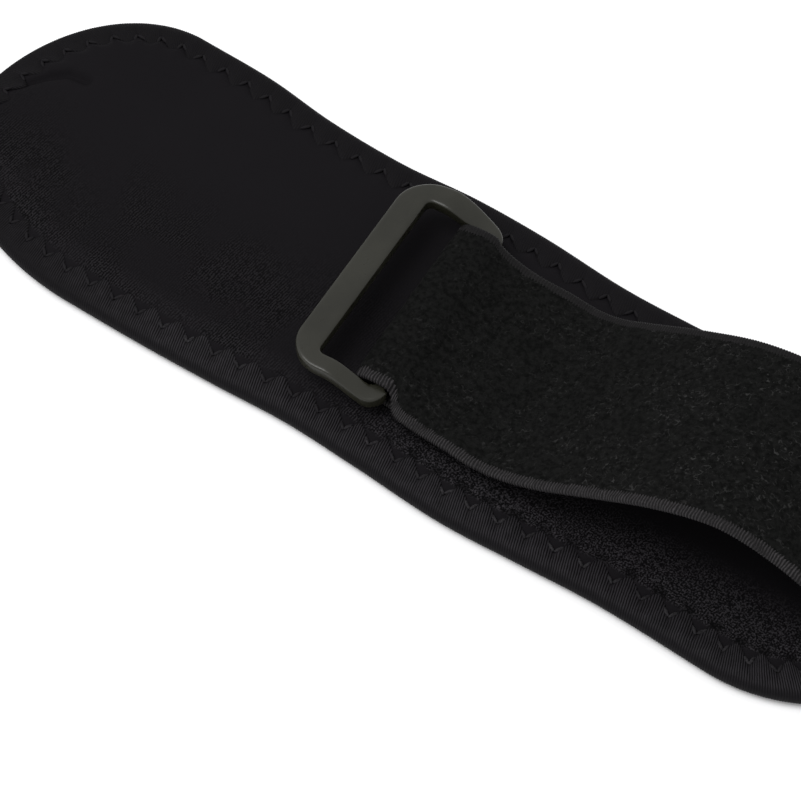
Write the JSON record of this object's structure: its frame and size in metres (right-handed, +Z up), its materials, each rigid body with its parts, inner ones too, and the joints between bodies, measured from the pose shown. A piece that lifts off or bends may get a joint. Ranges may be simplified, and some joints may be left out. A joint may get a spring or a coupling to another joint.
{
  "type": "wrist brace",
  "caption": "Flat padded wrist band with a bound edge, and a soft strap that threads through a plastic ring and folds back to fasten.",
  "frame": {"origin": "centre of the whole brace's footprint, on the surface that it lies on", "axes": "+X along the band, from its bare end to the strap's free end; +Y across it, away from the picture's viewer; +Z up"},
  "size_m": [0.3244, 0.081, 0.0331],
  "materials": {
    "neoprene_face": "fine black jersey over neoprene",
    "stretch_tape": "ribbed black stretch tape",
    "loop_pile": "brushed black loop pile with ribbed edges",
    "ring_plastic": "moulded dark grey plastic, satin",
    "hook_face": "dense black moulded hooks"
  },
  "bodies": {
    "band": {"body_panel": "neoprene_face", "edge_binding": "stretch_tape", "strap": "loop_pile", "hook_patch": "hook_face"},
    "ring": {"ring_buckle": "ring_plastic"}
  },
  "joints": [
    {"name": "ring_flip", "type": "hinge", "parent": "band", "child": "ring", "pos_m": [-0.0303, 0.00023, 0.0099], "axis": [-0.0906, 0.9959, 0], "range_deg": [-16, 120]}
  ]
}
